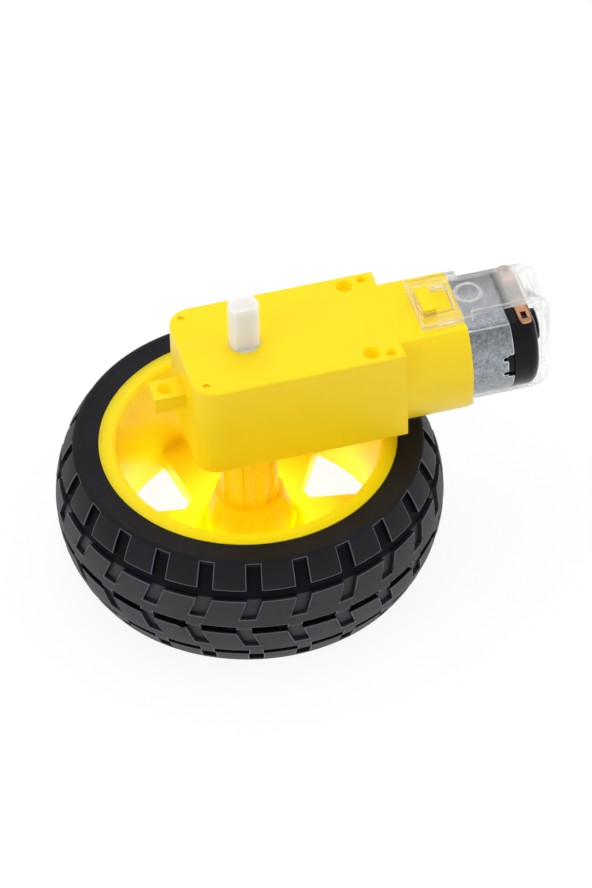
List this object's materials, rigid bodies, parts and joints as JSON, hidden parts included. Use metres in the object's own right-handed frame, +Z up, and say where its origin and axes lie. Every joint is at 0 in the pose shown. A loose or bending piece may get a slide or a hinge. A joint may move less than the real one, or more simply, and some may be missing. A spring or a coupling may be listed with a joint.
{
  "type": "geared dc motor with wheel",
  "caption": "Right-angle plastic gearmotor with a crown and spur gear train, a small brushed motor held by a clear strap, and a spoked wheel with a treaded rubber tyre.",
  "frame": {"origin": "on the output axis at the wheel's outer side face, on which the part stands", "axes": "+Z up the output shaft away from the wheel, +X from the output shaft towards the motor"},
  "size_m": [0.0873, 0.068, 0.0561],
  "materials": {
    "yellow_abs": "satin moulded ABS, yellow",
    "tyre_rubber": "matte black moulded rubber",
    "nylon_white": "translucent white nylon",
    "strap_clear": "clear polycarbonate",
    "zinc_steel": "zinc plated sheet steel",
    "cap_black": "black nylon",
    "copper": "tinned copper alloy strip",
    "steel_bright": "ground steel",
    "screw_steel": "blackened steel",
    "ferrite": "sintered ferrite",
    "lamination": "stacked silicon steel",
    "enamel_wire": "enamelled copper wire",
    "bronze": "oil-filled sintered bronze",
    "phenolic": "brown phenolic"
  },
  "bodies": {
    "case": {"case_upper": "yellow_abs", "case_lower": "yellow_abs", "case_screws": "screw_steel", "retaining_strap": "strap_clear", "middle_pin": "steel_bright", "crown_pin": "steel_bright", "motor_can": "zinc_steel", "motor_end_cap": "cap_black", "front_bearing": "bronze", "rear_bearing": "bronze", "magnet_left": "ferrite", "magnet_right": "ferrite", "magnet_spring": "steel_bright", "terminal_left": "copper", "terminal_right": "copper", "brush_left": "copper", "brush_right": "copper"},
    "output": {"output_shaft": "nylon_white", "output_gear": "nylon_white", "wheel_rim": "yellow_abs", "tyre": "tyre_rubber"},
    "middle": {"middle_gear": "nylon_white"},
    "crown": {"crown_gear": "nylon_white"},
    "rotor": {"motor_pinion": "nylon_white", "motor_shaft": "steel_bright", "armature_core": "lamination", "armature_windings": "enamel_wire", "commutator_hub": "phenolic", "commutator_segments": "copper", "shaft_spacers": "phenolic"}
  },
  "joints": [
    {"name": "output_spin", "type": "hinge", "parent": "case", "child": "output", "pos_m": [0, 0, 0.0375], "axis": [0, 0, 1], "continuous": true},
    {"name": "middle_spin", "type": "hinge", "parent": "case", "child": "middle", "pos_m": [0.01, 0, 0.0375], "axis": [0, 0, 1], "continuous": true},
    {"name": "crown_spin", "type": "hinge", "parent": "case", "child": "crown", "pos_m": [0.018, 0, 0.0375], "axis": [0, 0, 1], "continuous": true},
    {"name": "rotor_spin", "type": "hinge", "parent": "case", "child": "rotor", "pos_m": [0.03, 0, 0.0375], "axis": [1, 0, 0], "continuous": true}
  ],
  "couplings": [
    {"joint": "middle_spin", "follows": "output_spin", "ratio": -4},
    {"joint": "crown_spin", "follows": "output_spin", "ratio": 16},
    {"joint": "rotor_spin", "follows": "output_spin", "ratio": 48}
  ]
}
